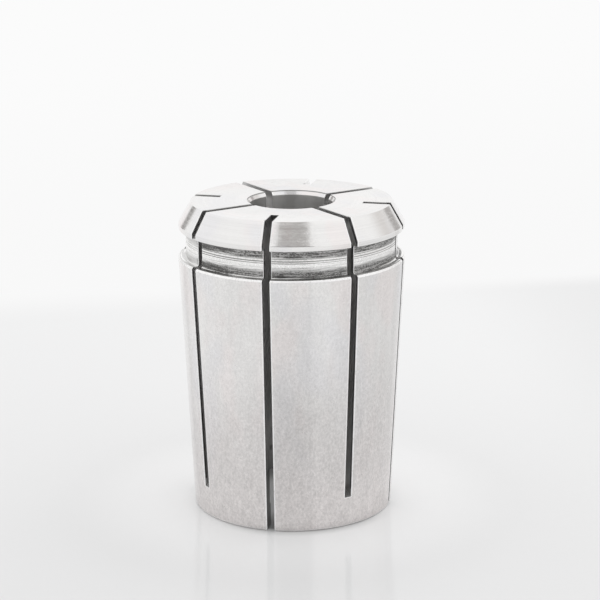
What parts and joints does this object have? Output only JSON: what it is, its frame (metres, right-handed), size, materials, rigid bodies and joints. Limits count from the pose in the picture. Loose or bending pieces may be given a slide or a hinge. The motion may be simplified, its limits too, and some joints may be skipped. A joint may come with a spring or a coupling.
{
  "type": "collet",
  "caption": "One-piece double-slotted steel collet with a 1:10 taper, a nut groove and a front cone, for clamping a straight shank.",
  "frame": {"origin": "centre of the rear face, on the axis, where the collet stands", "axes": "+Z along the axis from the rear end to the front face; a slot sawn from the rear lies on each of the +X, -X, +Y and -Y sides"},
  "size_m": [0.0436, 0.0436, 0.0605],
  "materials": {
    "ground_steel": "fine ground and turned bright steel, satin"
  },
  "bodies": {
    "root": {"collet": "ground_steel"}
  },
  "joints": []
}
